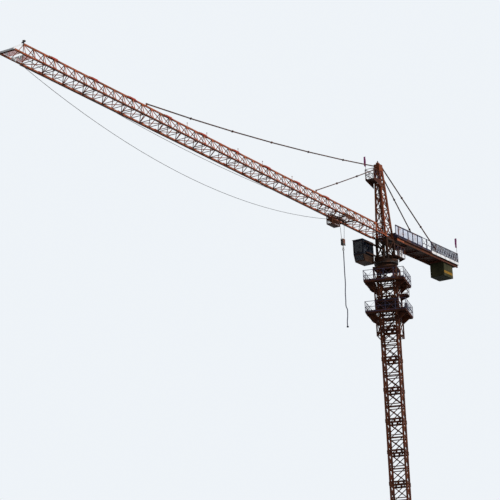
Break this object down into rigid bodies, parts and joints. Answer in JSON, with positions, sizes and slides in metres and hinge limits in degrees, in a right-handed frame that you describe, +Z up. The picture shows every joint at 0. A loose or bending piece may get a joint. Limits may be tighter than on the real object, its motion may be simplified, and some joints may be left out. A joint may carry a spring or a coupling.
{
  "type": "tower crane, 1:2 scale model",
  "caption": "Hammerhead tower crane at 1:2: lattice mast with climbing cage, slewing turret with cab and head, saddle jib with trolley and hook, and counter-jib with counterweight.",
  "frame": {"origin": "centre of the underside of the mast's anchor frame, at ground level", "axes": "+Z up the mast, +X along the jib at rest, +Y to the left of the jib"},
  "size_m": [33.4517, 2.3312, 30.9776],
  "materials": {
    "orange_red_paint": "weathered satin",
    "blue_grey_paint": "satin",
    "dark_steel": "dull",
    "wire_rope": "greased",
    "galvanised_grating": "dull",
    "olive_concrete": "rough",
    "tinted_glass": "tinted",
    "cab_paint": "satin",
    "sling_webbing": "woven",
    "white_paint": "satin",
    "flag_cloth": "woven"
  },
  "bodies": {
    "tower": {"anchor_frame": "orange_red_paint", "mast_front": "orange_red_paint", "mast_back": "orange_red_paint", "mast_left": "orange_red_paint", "mast_right": "orange_red_paint", "cage_front": "orange_red_paint", "cage_back": "orange_red_paint", "cage_left": "orange_red_paint", "cage_right": "orange_red_paint", "upper_walkway": "orange_red_paint", "lower_walkway": "orange_red_paint", "upper_walkway_rails": "blue_grey_paint", "lower_walkway_rails": "blue_grey_paint", "side_platform": "orange_red_paint", "jacking_beam": "dark_steel", "power_pack": "dark_steel", "slewing_support": "orange_red_paint"},
    "slewing_part": {"turntable": "orange_red_paint", "turret_frame": "orange_red_paint", "turret_platform": "orange_red_paint", "cab": "cab_paint", "cab_bracket": "orange_red_paint", "cab_glass": "tinted_glass", "tower_head": "orange_red_paint", "head_platform": "orange_red_paint", "flag_poles": "dark_steel", "flags": "flag_cloth", "jib_floor": "orange_red_paint", "jib_left_side": "orange_red_paint", "jib_right_side": "orange_red_paint", "jib_top_chord": "orange_red_paint", "jib_tip": "white_paint", "jib_long_tie": "dark_steel", "jib_short_tie": "dark_steel", "counter_jib_frame": "orange_red_paint", "counter_jib_floor": "galvanised_grating", "counter_jib_rails": "blue_grey_paint", "counter_jib_ties": "dark_steel", "counterweight": "olive_concrete", "hoist_winch": "orange_red_paint"},
    "trolley": {"trolley_frame": "orange_red_paint", "trolley_wheels": "dark_steel", "service_basket": "orange_red_paint", "upper_slack_rope": "wire_rope", "lower_slack_rope": "wire_rope"},
    "hook_block": {"rope_falls": "wire_rope", "hook_block": "dark_steel"},
    "hook": {"hook": "dark_steel", "sling_ring": "dark_steel", "sling": "sling_webbing"}
  },
  "joints": [
    {"name": "slew", "type": "hinge", "parent": "tower", "child": "slewing_part", "pos_m": [0, 0, 26.09], "axis": [0, 0, 1], "continuous": true},
    {"name": "trolley_travel", "type": "slide", "parent": "slewing_part", "child": "trolley", "axis": [0.9997, 0, 0.0262], "range_m": [-1.85, 21.1], "deforming": ["upper_slack_rope", "lower_slack_rope"]},
    {"name": "hoist", "type": "slide", "parent": "trolley", "child": "hook_block", "axis": [0, 0, 1], "range_m": [-22, 0.4], "deforming": ["rope_falls"]},
    {"name": "hook_swivel", "type": "hinge", "parent": "hook_block", "child": "hook", "pos_m": [3.87382, 0, 26.08], "axis": [0, 0, 1], "continuous": true}
  ]
}
